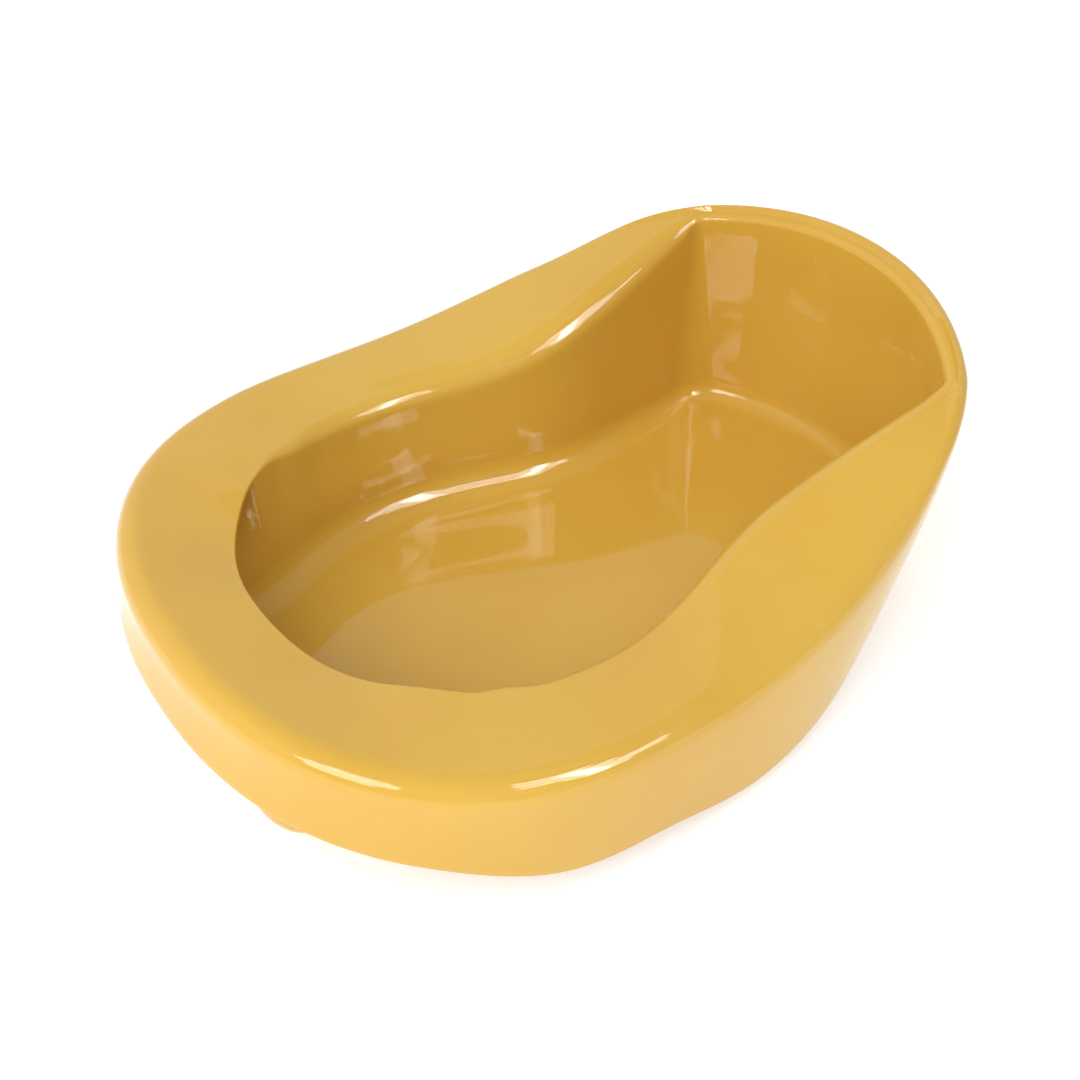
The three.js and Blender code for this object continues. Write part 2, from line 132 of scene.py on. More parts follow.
# ---- Surface of the plastic ----
MOTTLE_SCALE = 9.0
SPECK_SCALE = 900.0
SPECK_SHARE = 0.10
HAIRLINES = [  # turn, fineness across and along, half width, scale of the patches, where a patch begins
    ((0.2, 0.1, 0.9), 260.0, 9.0, 0.005, 16.0, 0.54),
    ((0.4, 0.3, -0.5), 320.0, 14.0, 0.004, 21.0, 0.58),
    ((1.1, 0.6, 2.1), 420.0, 45.0, 0.005, 34.0, 0.6),
]
PATCH_EDGE = 0.08
SCRATCH_PALE = 0.04
# How much paler the mould marks are painted: a painted highlight for the light their edges catch
MARK_PAINTED_HIGHLIGHT = 0.2
GLOSS = (0.025, 0.045)  # roughness at its least and most where the plastic is untouched
GLOSS_SCALE = 60.0
RUBBED_SCALE = 26.0
RUBBED_ROUGHNESS = 0.03
SCRATCH_ROUGHNESS = 0.22
PLASTIC_IOR = 1.5
WAVES = [(17.0, 1.0, 0.0006), (55.0, 2.0, 0.00005), (420.0, 1.0, 0.000006)]  # scale, detail, height in metres
SCRATCH_DEPTH = 0.000010
MARK_HEIGHT = 0.00003

# ---- Studio: metres, radiances, and directions in degrees, where azimuth 0 is towards -Y ----
LIGHT_DISTANCE = 1.5
WINDOW_LIGHT = 15.0
STRIP_HEIGHT = 0.08
# Strips of a window: azimuth, elevation, width.
LEFT_STRIPS = [(-70, 24, 0.55), (-69, 31, 0.80), (-67, 37, 0.70), (-66, 43, 0.45)]
RIGHT_STRIPS = [(12, 27, 0.35), (14, 34, 0.55), (10, 41, 0.80), (8, 49, 0.60), (9, 57, 0.40)]
# Whole boxes: azimuth, elevation, width, height.
RIGHT_UPRIGHT = (11, 41, 0.16, 0.72)
TOP_FILL_BOX = (-10, 72, 1.6, 1.6)
LEFT_FILL_BOX = (-66, 42, 1.5, 1.2)
TOP_FILL = 0.75
LEFT_FILL = 2.5
BACKDROP_TOP = 50  # how high the pale backdrop reaches
BACKDROP_BLUR = 0.7  # half the width of its soft upper edge
BACKDROP_LIGHT = 0.85
ROOM_LIGHT = 0.55  # on the -Y side
ROOM_EDGE = (-0.3, 0.1)  # where the room passes into the backdrop, as the Y part of a direction
CEILING_LIGHT = 0.42
FLOOR_HALF = 4
FLOOR_GREY = 0.85
FLOOR_ROUGHNESS = 0.9
FLOOR_GLOW = 0.42

# ---- Camera: angles in degrees, places in metres, lens and sensor in millimetres ----
CAMERA_AZIMUTH = -32.432  # 0 looks along +Y
CAMERA_ELEVATION = 42.145
CAMERA_ROLL = -2.314
CAMERA_DISTANCE = 0.69011
CAMERA_SLIDE = (-0.006084, 0.023433)  # across and up, level and square to its line of sight
CAMERA_LENS = 50.519
SENSOR_WIDTH = 36
NEAREST = 0.01

# ---- Mesh fineness ----
FINE = 4
COARSE_SPANS = {"seat": 14, "bowl": 8, "neck": 7, "flank": 5, "corner": 3, "front": 6}
SPANS = {stretch: count * FINE for stretch, count in COARSE_SPANS.items()}
FILLET_STEPS = 12
WALL_STEPS = 10
ROLL_STEPS = 12
DECK_STEPS = 12
SKIRT_STEPS = 10
FLOOR_RINGS = 14
SMOOTH_PASSES = 60
CURVE_SAMPLES = 600

# ---- Worked-out places ----
MM = 0.001
SHIFT_X = SKIRT_FLARE_REAR / 2
REAR = -LENGTH / 2
FRONT = LENGTH / 2
WIDEST_X = REAR + WIDEST_FROM_REAR
CORNER_X = FRONT - FRONT_BOW
WAIST_X = FRONT - WAIST_FROM_FRONT
BOWL_X = REAR + SEAT_DEPTH + SEAT_EDGE_RADIUS
BOWL_RADIUS = SEAT_EDGE_RADIUS - LIP_STEP
SEAT_EDGE_ANGLE = 180 - math.degrees(math.asin(SEAT_EDGE_WIDTH / 2 / SEAT_EDGE_RADIUS))
OPENING_FRONT = FRONT - RIM_WIDTH
INNER_CORNER_X = FRONT - INNER_CORNER_FROM_FRONT
HALF_COUNT = sum(SPANS.values())
RING_COUNT = 2 * HALF_COUNT
SEAT_END = SPANS["seat"]
BOWL_END = SEAT_END + SPANS["bowl"]
FLANK_END = BOWL_END + SPANS["neck"] + SPANS["flank"]


# ---- Curves: each is a function from an array of shares, 0 to 1, to an array of points ----


def smoothstep(x, low, high):
    t = np.clip((np.asarray(x, float) - low) / (high - low), 0, 1)
    return t * t * (3 - 2 * t)


def mix(a, b, share):
    return a + (b - a) * share


def polar(x, radius, degrees):
    angle = np.radians(degrees)
    return np.stack([x + radius * np.cos(angle), radius * np.sin(angle)], axis=-1)


def bezier(*controls):
    controls = [np.asarray(c, float) for c in controls]
    degree = len(controls) - 1

    def at(u):
        u = np.asarray(u, float)[..., None]
        terms = [math.comb(degree, k) * u**k * (1 - u) ** (degree - k) * c for k, c in enumerate(controls)]
        return sum(terms)

    return at


def spaced(curves, count):
    """Points at equal distances along one or more curves laid end to end."""
    dense = [np.linspace(0, 1, CURVE_SAMPLES) for _ in curves]
    samples = np.concatenate([curve(u) for curve, u in zip(curves, dense)])
    run = np.concatenate([[0], np.cumsum(np.hypot(*np.diff(samples, axis=0).T))])
    wanted = np.linspace(0, run[-1], count + 1)
    return np.stack([np.interp(wanted, run, samples[:, axis]) for axis in range(2)], axis=-1)


def height_line(knots):
    """A smooth height along x through knots at equal steps from the rear to the front."""
    knots = np.asarray(knots, float)
    last = len(knots) - 1
    slopes = np.gradient(knots)

    def at(x):
        along = np.clip((np.asarray(x, float) - REAR) / LENGTH * last, 0, last)
        k = np.minimum(along.astype(int), last - 1)
        u = along - k
        rise = 3 * u**2 - 2 * u**3
        leave = u * (1 - u) ** 2
        arrive = u**2 * (u - 1)
        return mix(knots[k], knots[k + 1], rise) + slopes[k] * leave + slopes[k + 1] * arrive

    return at


top_height = height_line(TOP_HEIGHTS)
skirt_height = height_line(SKIRT_HEIGHTS)


def front_arc(apex, corner, start_cut):
    """The circle through (apex, 0) and a corner, from the corner towards the apex."""
    bow = apex - corner[0]
    radius = (bow**2 + corner[1] ** 2) / (2 * bow)
    start = math.asin(corner[1] / radius) - start_cut / radius

    def at(u):
        angle = start * (1 - np.asarray(u, float))
        return np.stack([apex - radius + radius * np.cos(angle), radius * np.sin(angle)], axis=-1)

    return at


def half_outline(stretches):
    """Stretches joined into half an outline, from the rear apex round the left side to the front apex."""
    parts = [spaced([stretch], count) for stretch, count in zip(stretches, SPANS.values())]
    return np.concatenate([parts[0][:1]] + [part[1:] for part in parts])


def smoothed(half, first, last):
    """Half an outline whose points between two stations are evened out along it."""
    half = half.copy()
    for _ in range(SMOOTH_PASSES):
        before, after = half[first - 1 : last - 1], half[first + 1 : last + 1]
        half[first:last] = (before + 2 * half[first:last] + after) / 4
    return half


def ring(half):
    """A closed outline from its left half, and the outward normal at each of its points."""
    points = np.concatenate([half, half[-2:0:-1] * [1, -1]])
    along = np.roll(points, -1, axis=0) - np.roll(points, 1, axis=0)
    normals = np.stack([-along[:, 1], along[:, 0]], axis=-1)
    return points, normals / np.linalg.norm(normals, axis=1, keepdims=True)


def taper(x):
    """The outer shoulder between its widest place and the front corner."""
    share = np.clip((np.asarray(x, float) - WIDEST_X) / (CORNER_X - WIDEST_X), 0, None)
    return np.stack([x + 0 * share, WIDTH / 2 - (WIDTH - FRONT_WIDTH) / 2 * share**TAPER_POWER], axis=-1)


def shoulder_outline():
    power = 2 / REAR_SQUARENESS

    def round_rear(degrees):
        angle = np.radians(degrees)
        x = WIDEST_X - WIDEST_FROM_REAR * np.clip(np.cos(angle), 0, 1) ** power
        return np.stack([x, WIDTH / 2 * np.sin(angle) ** power], axis=-1)

    corner = np.array([CORNER_X, FRONT_WIDTH / 2])
    flank_end = CORNER_X - OUTER_CORNER_REACH
    arc = front_arc(FRONT, corner, OUTER_CORNER_REACH)
    return ring(
        half_outline(
            [
                lambda u: round_rear(SEAT_SWEEP * u),
                lambda u: round_rear(SEAT_SWEEP + (90 - SEAT_SWEEP) * u),
                lambda u: taper(mix(WIDEST_X, WAIST_X, u)),
                lambda u: taper(mix(WAIST_X, flank_end, u)),
                bezier(taper(flank_end), corner, arc(0)),
                arc,
            ]
        )
    )


def opening_half(inset, corner_reach):
    """The opening's inner line, moved in by an inset, with its front corners rounded off by a reach."""
    bowl_radius = BOWL_RADIUS - inset
    neck_start = polar(BOWL_X, bowl_radius, NECK_START_ANGLE)
    heading = polar(0, 1, NECK_START_ANGLE - 90)
    waist = np.array([WAIST_X, WAIST_WIDTH / 2 - inset])
    corner = np.array([INNER_CORNER_X, taper(INNER_CORNER_X)[1] - CORNER_RIM_WIDTH - inset])
    reach = waist[0] - neck_start[0]
    flank = bezier(
        waist,
        waist + [(corner[0] - waist[0]) / 4, 0],
        corner + (waist - corner) / 3,
        corner,
    )
    flank_share = 1 - corner_reach / (corner[0] - waist[0])
    arc = front_arc(OPENING_FRONT - inset, corner, corner_reach)

    def bowl(u):
        radius = SEAT_EDGE_RADIUS - LIP_STEP * smoothstep(u, *LIP_STEP_SHARES) - inset
        return polar(BOWL_X, radius, mix(SEAT_EDGE_ANGLE, NECK_START_ANGLE, u))

    return half_outline(
        [
            lambda u: polar(BOWL_X, SEAT_EDGE_RADIUS - inset, mix(180, SEAT_EDGE_ANGLE, u)),
            bowl,
            bezier(neck_start, neck_start + heading * reach / 2, waist - [reach * WAIST_EASE, 0], waist),
            lambda u: flank(np.asarray(u) * flank_share),
            bezier(flank(flank_share), corner, arc(0)),
            arc,
        ]
    )


def catmull_rom(knots):
    """A centripetal spline through knots, as one curve for each pair of them."""
    padded = [2 * knots[0] - knots[1], *knots, 2 * knots[-1] - knots[-2]]
    pieces = []
    for before, a, b, after in zip(padded, padded[1:], padded[2:], padded[3:]):
        d0, d1, d2 = (np.linalg.norm(q - p) ** 0.5 for p, q in ((before, a), (a, b), (b, after)))
        leave = ((a - before) / d0 - (b - before) / (d0 + d1) + (b - a) / d1) * d1
        arrive = ((b - a) / d1 - (after - a) / (d1 + d2) + (after - b) / d2) * d1
        pieces.append(bezier(a, a + leave / 3, b - arrive / 3, b))
    return pieces


def foot_outline():
    """The foot of the basin wall: the opening's line drawn in, with the pocket under the seat behind it."""
    half = opening_half(WALL_DRAFT, FOOT_CORNER_REACH)
    rear = REAR + POCKET_REAR_CLEARANCE
    mouth = polar(BOWL_X, SEAT_EDGE_RADIUS, SEAT_EDGE_ANGLE) + [POCKET_MOUTH_AHEAD, 0]
    side = mouth[1] - POCKET_INSET
    corner_start = np.array([rear + POCKET_REAR_BOW, side - POCKET_CORNER])
    corner_end = np.array([rear + POCKET_CORNER, side])
    pocket = spaced(
        [
            bezier([rear, 0], [rear, corner_start[1] / 2], corner_start),
            bezier(corner_start, [rear + POCKET_REAR_BOW, side], corner_end),
            bezier(corner_end, [(corner_end[0] + mouth[0]) / 2, side + POCKET_SIDE_BOW], mouth),
        ],
        SPANS["seat"],
    )
    straight_on = (mouth + half[SEAT_END + 2 * FINE]) / 2
    knots = [mouth, straight_on, half[SEAT_END + 3 * FINE], half[SEAT_END + 4 * FINE], half[BOWL_END]]
    blend = spaced(catmull_rom(knots), SPANS["bowl"])
    joined = np.concatenate([pocket, blend[1:], half[BOWL_END + 1 :]])
    return ring(smoothed(joined, SEAT_END - 3 * FINE, FLANK_END - FINE))


shoulder = shoulder_outline()
opening = ring(smoothed(opening_half(0, INNER_CORNER_REACH), SEAT_END + 4 * FINE, FLANK_END - FINE))
foot = foot_outline()

# ---- Sizes that vary round the ring ----

STATIONS = np.arange(RING_COUNT)
HALF_INDEX = np.minimum(STATIONS, RING_COUNT - STATIONS)
IS_SEAT = HALF_INDEX < SEAT_END


def front_share(x):
    return smoothstep(x, WAIST_X, INNER_CORNER_X)


def flank_share(x):
    """1 beside the neck, falling away to 0 at the widest place and at the front corner."""
    return smoothstep(x, WIDEST_X, WAIST_X) * (1 - smoothstep(x, CORNER_X - FLANK_BLEND, CORNER_X))


def roll_radii():
    """Radii of the lip and the shoulder; both shrink together where the deck is too narrow for them."""
    width = np.linalg.norm(shoulder[0] - opening[0], axis=1)
    x = opening[0][:, 0]
    rim_share = smoothstep(x, INNER_CORNER_X - RIM_BLEND, INNER_CORNER_X)
    inner = mix(mix(LIP_RADIUS, FLANK_LIP_RADIUS, flank_share(x)), RIM_INNER_RADIUS, rim_share)
    outer_share = smoothstep(x, INNER_CORNER_X - SHOULDER_BLEND, INNER_CORNER_X)
    outer = mix(SHOULDER_RADIUS, RIM_OUTER_RADIUS, outer_share)
    fit = np.minimum(1, (width - RIM_FLAT) / (inner + outer))
    grown = smoothstep(HALF_INDEX, SEAT_END, SEAT_END + 4 * FINE)
    return mix(EDGE_DEPTH, inner * fit, grown), outer * fit


LIP_RADII, SHOULDER_RADII = roll_radii()


def fillet_radii():
    share = front_share(foot[0][:, 0])
    rearward = smoothstep(SEAT_END - HALF_INDEX, 0, 4 * FINE)
    behind = mix(FLOOR_FILLET, POCKET_FILLET, rearward)
    return mix(behind, FRONT_FILLET, share)


def skirt_offset(x):
    rear = SKIRT_FLARE_REAR * smoothstep(-x, -WIDEST_X, -REAR)
    tuck = -SKIRT_TUCK_SIDE * smoothstep(x, WIDEST_X, CORNER_X) ** 2
    ease = (SKIRT_TUCK_SIDE - SKIRT_TUCK_FRONT) * smoothstep(x, WAIST_X, FRONT)
    return np.where(x < WIDEST_X, rear, tuck + ease)


def shoulder_top():
    x = shoulder[0][:, 0]
    return top_height(x) - FLANK_FALL * flank_share(x)


def edge_relief():
    """The gentle dips and rises of the opening's edge, to either side of where the rolled lip begins."""
    sag = np.where(IS_SEAT, np.sin(math.pi * HALF_INDEX / SEAT_END) ** 2, 0)
    starts = smoothstep(HALF_INDEX, SEAT_END * LIP_START_FROM, SEAT_END)
    fades = smoothstep(HALF_INDEX, SEAT_END, BOWL_END)
    return LIP_START_RISE * starts * (1 - fades) - SEAT_EDGE_SAG * sag


def opening_top():
    x = opening[0][:, 0]
    dish = mix(DECK_DISH, RIM_DISH, front_share(x))
    return top_height(x) - dish + FLANK_LIP_RISE * flank_share(x) + edge_relief()


FILLET_RADII = fillet_radii()
SHOULDER_TOP = shoulder_top()
OPENING_TOP = opening_top()

# ---- Rows: one closed line of points each, with the direction that the visible face looks in ----


def row(outline, move, height, side, tilt):
    points, normals = outline
    xy = points + normals * np.reshape(move, (-1, 1))
    position = np.column_stack([xy, height + np.zeros(RING_COUNT)])
    facing = np.column_stack([normals * side * math.cos(tilt), np.full(RING_COUNT, math.sin(tilt))])
    return position, facing


def quarter_turns(steps):
    return [math.pi / 2 * k / steps for k in range(steps + 1)]


def fillet_rows():
    """From the wall's foot down to the floor."""
    rows = []
    for tilt in quarter_turns(FILLET_STEPS):
        move = -FILLET_RADII * (1 - math.cos(tilt))
        rows.append(row(foot, move, WALL + FILLET_RADII * (1 - math.sin(tilt)), -1, tilt))
    return rows


def lip_rows():
    """From the top of the wall out to the deck."""
    rows = []
    for tilt in quarter_turns(ROLL_STEPS):
        move = LIP_RADII * (1 - math.cos(tilt))
        rows.append(row(opening, move, OPENING_TOP - LIP_RADII * (1 - math.sin(tilt)), -1, tilt))
    return rows


def shoulder_rows():
    """From the deck down to the skirt."""
    rows = []
    for tilt in reversed(quarter_turns(ROLL_STEPS)):
        move = -SHOULDER_RADII * (1 - math.cos(tilt))
        rows.append(row(shoulder, move, SHOULDER_TOP - SHOULDER_RADII * (1 - math.sin(tilt)), 1, tilt))
    return rows


def skirt_edge_row():
    x = shoulder[0][:, 0]
    return row(shoulder, skirt_offset(x), skirt_height(x) + EDGE_DEPTH, 1, 0)


def between(start, end, steps, ease):
    """Rows between two others; ease maps the share to how far the plan has moved across."""
    rows = []
    for k in range(1, steps):
        share = k / steps
        position = mix(start[0], end[0], share)
        position[:, :2] = mix(start[0][:, :2], end[0][:, :2], ease(share))
        facing = mix(start[1], end[1], share)
        rows.append((position, facing / np.linalg.norm(facing, axis=1, keepdims=True)))
    return rows


def wall_top_row(lip_start):
    """The top of the basin wall: the lip's first row, or the pocket's ceiling line under the seat."""
    across = np.abs(opening[0][:, 1]) / (SEAT_EDGE_WIDTH / 2)
    share = (POCKET_REACH * (1 - across**POCKET_SQUARENESS))[:, None]
    xy = mix(opening[0], shoulder[0], share)
    ceiling = mix(OPENING_TOP, SHOULDER_TOP, share[:, 0]) - WALL + POCKET_WALL_INSET
    under_seat = np.column_stack([xy, ceiling])
    return np.where(IS_SEAT[:, None], under_seat, lip_start[0]), lip_start[1]


def straight(share):
    return share


def soft_ends(share):
    return smoothstep(share, 0, 1)


def late(share):
    return share**SKIRT_EASE


fillet = fillet_rows()
lip = lip_rows()
rolled = shoulder_rows()
wall_top = wall_top_row(lip[0])
wall = between(fillet[0], wall_top, WALL_STEPS, soft_ends)
deck = between(lip[-1], rolled[0], DECK_STEPS, straight)
skirt = between(rolled[-1], skirt_edge_row(), SKIRT_STEPS, late)

GRID = fillet[::-1] + wall + [wall_top] + lip[1:] + deck + rolled + skirt + [skirt_edge_row()]
FOOT_ROW = FILLET_STEPS
WALL_TOP_ROW = FOOT_ROW + WALL_STEPS
DECK_INNER_ROW = WALL_TOP_ROW + ROLL_STEPS
DECK_OUTER_ROW = DECK_INNER_ROW + DECK_STEPS
SKIRT_EDGE_ROW = DECK_OUTER_ROW + ROLL_STEPS + SKIRT_STEPS
FRONT_FACE = np.array([position for position, _ in GRID])
BACK_FACE = np.array([position - facing * WALL for position, facing in GRID])


def rounded_edge(grid_row, outward, weight):
    """Lines that close the sheet's free edge from its front to its back, bulging outward by weight."""
    front, back = FRONT_FACE[grid_row], BACK_FACE[grid_row]
    middle, half = (front + back) / 2, (front - back) / 2
    lines = []
    for k in range(1, EDGE_STEPS):
        angle = math.pi * k / EDGE_STEPS
        across = math.copysign(abs(math.cos(angle)) ** (2 / EDGE_SQUARENESS), math.cos(angle))
        out = math.sin(angle) ** (2 / EDGE_SQUARENESS) * EDGE_DEPTH
        lines.append(middle + half * across + outward * out * np.reshape(weight, (-1, 1)))
    return np.array(lines)


def floor_rings(outline, height):
    """Rings that shrink from an outline to one point in the middle of the floor."""
    shares = [1 - (k / FLOOR_RINGS) for k in range(1, FLOOR_RINGS)]
    rings = [np.column_stack([outline[:, :2] * share, np.full(RING_COUNT, height)]) for share in shares]
    return np.array(rings)


INWARD = np.column_stack([-opening[1], np.zeros(RING_COUNT)])
SEAT_EDGE = rounded_edge(DECK_INNER_ROW, INWARD, HALF_INDEX <= SEAT_END)
SKIRT_EDGE = rounded_edge(SKIRT_EDGE_ROW, np.array([0, 0, -1.0]), 1)
FLOOR_TOP = floor_rings(FRONT_FACE[0], WALL)
FLOOR_UNDER = floor_rings(BACK_FACE[0], 0)
FLOOR_MIDDLES = np.array([[0, 0, WALL], [0, 0, 0]], float)

# ---- All points in one list, so that neighbouring regions share their borders and their shading ----

BLOCKS = [FRONT_FACE, BACK_FACE, SEAT_EDGE, SKIRT_EDGE, FLOOR_TOP, FLOOR_UNDER]
STARTS = np.cumsum([0] + [block.shape[0] * RING_COUNT for block in BLOCKS])
POINTS = np.concatenate([block.reshape(-1, 3) for block in BLOCKS] + [FLOOR_MIDDLES])
POINTS = (POINTS + [SHIFT_X, 0, 0]) * MM
FRONT_ID, BACK_ID, SEAT_EDGE_ID, SKIRT_EDGE_ID, FLOOR_TOP_ID, FLOOR_UNDER_ID, MIDDLE_ID = STARTS


def line_ids(block_start, line):
    return block_start + line * RING_COUNT


def lines_of(block_start, count):
    return [line_ids(block_start, k) for k in range(count)]


def quad(first, second, i, j):
    return (first + i, first + j, second + j, second + i)


def region(first_row, last_row, first_station, last_station):
    """A closed solid over a block of the grid: its shown faces and its hidden parting faces."""
    stations = [i % RING_COUNT for i in range(first_station, last_station + 1)]
    front = [line_ids(FRONT_ID, k) for k in range(first_row, last_row + 1)]
    back = [line_ids(BACK_ID, k) for k in range(first_row, last_row + 1)]
    outer = lines_of(SKIRT_EDGE_ID, EDGE_STEPS - 1) if last_row == SKIRT_EDGE_ROW else []
    inner = lines_of(SEAT_EDGE_ID, EDGE_STEPS - 1) if first_row == DECK_INNER_ROW else []
    loop = front + outer + back[::-1] + inner[::-1]
    shown, hidden = [], []
    for k, line in enumerate(loop):
        after = loop[(k + 1) % len(loop)]
        crosses_outer = len(front) - 1 <= k < len(front) + len(outer)
        crosses_inner = k >= 2 * len(front) + len(outer) - 1
        for i, j in zip(stations, stations[1:]):
            beside_seat = max(HALF_INDEX[i], HALF_INDEX[j]) <= SEAT_END
            free = (crosses_outer and outer) or (crosses_inner and inner and beside_seat)
            parting = (crosses_outer or crosses_inner) and not free
            (hidden if parting else shown).append(quad(line, after, i, j))
    for station, turn in ((stations[0], 1), (stations[-1], -1)):
        for k in range(len(front) - 1):
            face = (front[k] + station, front[k + 1] + station, back[k + 1] + station, back[k] + station)
            hidden.append(face[::turn])
        for edge, a, b, way in ((outer, front[-1], back[-1], 1), (inner, front[0], back[0], -1)):
            if edge:
                face = (a + station, *(line + station for line in edge), b + station)
                hidden.append(face[:: turn * way])
    return shown, hidden


def floor_region():
    """The floor: its fillet all round, the flat floor above and the face it stands on below."""
    above = lines_of(FLOOR_TOP_ID, FLOOR_RINGS - 1)[::-1] + lines_of(FRONT_ID, FOOT_ROW + 1)
    below = lines_of(FLOOR_UNDER_ID, FLOOR_RINGS - 1)[::-1] + lines_of(BACK_ID, FOOT_ROW + 1)
    loop = above + below[::-1]
    shown, hidden = [], []
    for i in range(RING_COUNT):
        j = (i + 1) % RING_COUNT
        for k in range(len(loop) - 1):
            (hidden if k == len(above) - 1 else shown).append(quad(loop[k], loop[k + 1], i, j))
        shown.append((MIDDLE_ID, above[0] + j, above[0] + i))
        shown.append((MIDDLE_ID + 1, below[0] + i, below[0] + j))
    return shown, hidden


def mirrored(station):
    return RING_COUNT - station


REGIONS = {
    "basin_floor": floor_region(),
    "rear_pocket_wall": region(FOOT_ROW, WALL_TOP_ROW, -SEAT_END, SEAT_END),
    "side_wall_left": region(FOOT_ROW, WALL_TOP_ROW, SEAT_END, FLANK_END),
    "side_wall_right": region(FOOT_ROW, WALL_TOP_ROW, mirrored(FLANK_END), mirrored(SEAT_END)),
    "front_wall": region(FOOT_ROW, WALL_TOP_ROW, FLANK_END, mirrored(FLANK_END)),
    "lip_left": region(WALL_TOP_ROW, DECK_INNER_ROW, SEAT_END, FLANK_END),
    "lip_right": region(WALL_TOP_ROW, DECK_INNER_ROW, mirrored(FLANK_END), mirrored(SEAT_END)),
    "front_rim": region(WALL_TOP_ROW, SKIRT_EDGE_ROW, FLANK_END, mirrored(FLANK_END)),
    "seat_deck": region(DECK_INNER_ROW, DECK_OUTER_ROW, -FLANK_END, FLANK_END),
    "outer_skirt": region(DECK_OUTER_ROW, SKIRT_EDGE_ROW, -FLANK_END, FLANK_END),
}


def face_normal(face):
    corners = POINTS[list(face)]
    normal = np.cross(corners[2] - corners[0], corners[-1] - corners[1])
    return normal / max(np.linalg.norm(normal), 1e-12)


def signed_volume(faces):
    total = 0.0
    for face in faces:
        p = POINTS[list(face)]
        for b, c in zip(p[1:-1], p[2:]):
            total += np.dot(p[0], np.cross(b, c))
    return total


def outward_faces(faces):
    shown, hidden = faces
    if signed_volume(shown + hidden) < 0:
        return [f[::-1] for f in shown], [f[::-1] for f in hidden]
    return shown, hidden


def point_normals(regions):
    """One smooth normal for each point, from the shown faces of every region together."""
    normals = np.zeros_like(POINTS)
    for shown, _ in regions.values():
        for face in shown:
            np.add.at(normals, list(face), face_normal(face))
    return normals / np.maximum(np.linalg.norm(normals, axis=1, keepdims=True), 1e-12)


def build_piece(name, shown, hidden, normals, material):
    """A mesh object for one region, shaded across its borders as one skin."""
    faces = shown + hidden
    used = sorted({int(v) for face in faces for v in face})
    place = {v: k for k, v in enumerate(used)}
    mesh = bpy.data.meshes.new(name)
    mesh.from_pydata([tuple(POINTS[v]) for v in used], [], [[place[int(v)] for v in face] for face in faces])
    mesh.polygons.foreach_set("use_smooth", [True] * len(faces))
    loop_normals = [tuple(normals[v]) for face in shown for v in face]
    for face in hidden:
        loop_normals += [tuple(face_normal(face))] * len(face)
    mesh.normals_split_custom_set(loop_normals)
    mesh.materials.append(material)
    piece = bpy.data.objects.new(name + "_skin", mesh)
    bpy.context.scene.collection.objects.link(piece)
    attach(piece, "root")
    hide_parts(name)
    return piece


# ---- Material ----


class Graph:
    """Short names for the shader nodes that the plastic is made of."""

    def __init__(self, tree):
        self.nodes, self.links = tree.nodes, tree.links

    def node(self, kind, values=(), **settings):
        made = self.nodes.new(kind)
        for key, value in settings.items():
            setattr(made, key, value)
        for socket, value in dict(values).items():
            self.feed(made.inputs[socket], value)
        return made

    def feed(self, socket, value):
        if isinstance(value, bpy.types.NodeSocket):
            self.links.new(value, socket)
        else:
            socket.default_value = value

    def math(self, operation, a, b=0.0, c=0.0):
        return self.node("ShaderNodeMath", {0: a, 1: b, 2: c}, operation=operation).outputs[0]

    def noise(self, place, scale, detail=2.0, roughness=0.5):
        values = {"Vector": place, "Scale": scale, "Detail": detail, "Roughness": roughness}
        return self.node("ShaderNodeTexNoise", values).outputs["Fac"]

    def band(self, value, low, high, at_low=0.0, at_high=1.0):
        """Value carried smoothly from at_low, at or below low, to at_high, at or above high."""
        values = {"Value": value, "From Min": low, "From Max": high, "To Min": at_low, "To Max": at_high}
        return self.node("ShaderNodeMapRange", values, interpolation_type="SMOOTHSTEP").outputs[0]

    def turned(self, place, turn, scale):
        values = {"Vector": place, "Rotation": turn, "Scale": scale}
        return self.node("ShaderNodeMapping", values).outputs[0]

    def bump(self, height):
        """A bump from a height in metres."""
        return self.node("ShaderNodeBump", {"Height": height, "Distance": 1.0, "Strength": 1.0}).outputs[0]

    def highest(self, shapes):
        """The greatest of several values."""
        most = shapes[0]
        for shape in shapes[1:]:
            most = self.math("MAXIMUM", most, shape)
        return most

    def blend(self, share, a, b):
        mixer = self.node("ShaderNodeMix", data_type="RGBA")
        for socket, value in ((mixer.inputs["Factor"], share), (mixer.inputs[6], a), (mixer.inputs[7], b)):
            self.feed(socket, value)
        return mixer.outputs[2]


def hairlines(g, place, turn, across, along, width, patch_scale, patch_from):
    """Fine scratches that all run nearly one way, in patches."""
    stretched = g.turned(place, turn, (across, along, along))
    crossing = g.math("ABSOLUTE", g.math("SUBTRACT", g.noise(stretched, 1.0, 1.0), 0.5))
    line = g.band(crossing, 0.0, width, 1.0, 0.0)
    patch = g.band(g.noise(place, patch_scale, 1.0), patch_from, patch_from + PATCH_EDGE)
    return g.math("MULTIPLY", line, patch)


